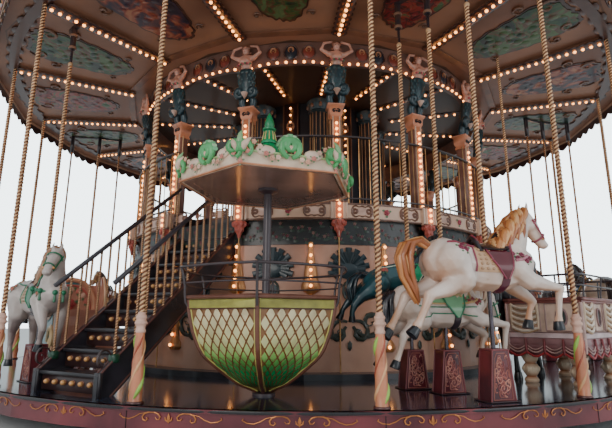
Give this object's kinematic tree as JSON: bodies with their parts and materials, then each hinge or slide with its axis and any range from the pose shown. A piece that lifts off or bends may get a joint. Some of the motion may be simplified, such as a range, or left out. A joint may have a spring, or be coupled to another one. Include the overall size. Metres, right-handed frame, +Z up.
{
  "type": "fairground carousel",
  "caption": "Double-deck roundabout: turning platform and upper deck round a drum, jumping horses on poles, spinning gondola, howdah, coach, stairs and a pitched roof.",
  "frame": {"origin": "on the vertical turning axis at ground level", "axes": "+Z up, -Y towards the front, with an outer pole on the -Y axis; the stair is 34 degrees to the left of it"},
  "size_m": [12.9408, 12.9408, 9.05],
  "materials": {
    "frame_steel": "dark grey paint",
    "floor_boards": "glossy dark stain",
    "rim_paint": "burgundy gloss paint with gold scrolls",
    "wall_paint": "pink and cream gloss paint",
    "fascia_paint": "cream paint with scrollwork",
    "brass_tube": "polished, worn at hand height",
    "core_paint": "dark teal gloss paint",
    "ceiling_paint": "tan matt paint",
    "roof_tilt": "coated canvas over boards",
    "stair_boards": "dark stain",
    "gondola_paint": "cream to green gloss paint",
    "seat_cover": "dark teal cover",
    "dark_metal": "satin dark paint",
    "canopy_wood": "satin varnish",
    "dome_paint": "green gloss paint",
    "horse_cream": "cream gloss paint",
    "horse_teal": "teal gloss paint",
    "horse_grey": "grey-cream gloss paint",
    "horse_black": "black gloss paint"
  },
  "bodies": {
    "base": {"ground_frame": "frame_steel"},
    "carousel": {"platform_deck": "floor_boards", "rim_panels": "rim_paint", "drum_plinth": "floor_boards", "drum_wall": "wall_paint", "upper_floor": "floor_boards", "upper_fascia_right": "fascia_paint", "upper_fascia_left": "fascia_paint", "upper_railing_right": "brass_tube", "upper_railing_left": "brass_tube", "colonnade_right": "wall_paint", "colonnade_left": "wall_paint", "inner_core": "core_paint", "ceiling": "ceiling_paint", "ceiling_ribs": "ceiling_paint", "rounding_boards": "fascia_paint", "roof": "roof_tilt", "roof_finial": "brass_tube", "outer_poles_front": "brass_tube", "outer_poles_right": "brass_tube", "outer_poles_rear": "brass_tube", "outer_poles_left": "brass_tube", "stair_flight": "stair_boards", "stair_rail_left": "brass_tube", "stair_rail_right": "brass_tube", "stair_rear": "stair_boards", "gondola_mast": "dark_metal", "gondola_canopy": "canopy_wood", "gondola_crest": "gondola_paint", "gondola_dome": "dome_paint", "gondola_far": "gondola_paint", "jumper_hanger": "dark_metal", "pedestal_outer": "rim_paint", "pedestal_middle": "rim_paint", "pedestal_inner": "rim_paint", "grey_hanger": "dark_metal", "pedestal_grey": "rim_paint", "howdah_tub": "wall_paint", "howdah_rail": "dark_metal", "coach": "wall_paint", "horse_black": "horse_black", "howdah_far": "wall_paint", "horse_row_right": "horse_cream", "horse_row_rear": "horse_cream", "horse_row_left": "horse_cream"},
    "gondola": {"gondola_basket": "gondola_paint", "gondola_seat": "seat_cover", "gondola_handrail": "dark_metal"},
    "jumper_outer": {"horse_outer": "horse_cream", "pole_outer": "brass_tube"},
    "jumper_middle": {"horse_middle": "horse_cream", "pole_middle": "brass_tube"},
    "jumper_inner": {"horse_inner": "horse_teal", "pole_inner": "brass_tube"},
    "jumper_grey": {"horse_grey": "horse_grey", "pole_grey": "brass_tube"}
  },
  "joints": [
    {"name": "carousel_turn", "type": "hinge", "parent": "base", "child": "carousel", "pos_m": [0, 0, 0.3], "axis": [0, 0, 1], "continuous": true},
    {"name": "gondola_spin", "type": "hinge", "parent": "carousel", "child": "gondola", "pos_m": [-1.0374, -4.9668, 0.465], "axis": [0, 0, 1], "continuous": true},
    {"name": "outer_jump", "type": "slide", "parent": "carousel", "child": "jumper_outer", "axis": [0, 0, 1], "range_m": [-0.15, 0.1]},
    {"name": "middle_jump", "type": "slide", "parent": "carousel", "child": "jumper_middle", "axis": [0, 0, 1], "range_m": [-0.05, 0.2]},
    {"name": "inner_jump", "type": "slide", "parent": "carousel", "child": "jumper_inner", "axis": [0, 0, 1], "range_m": [-0.15, 0.1]},
    {"name": "grey_jump", "type": "slide", "parent": "carousel", "child": "jumper_grey", "axis": [0, 0, 1], "range_m": [-0.1, 0.15]}
  ]
}
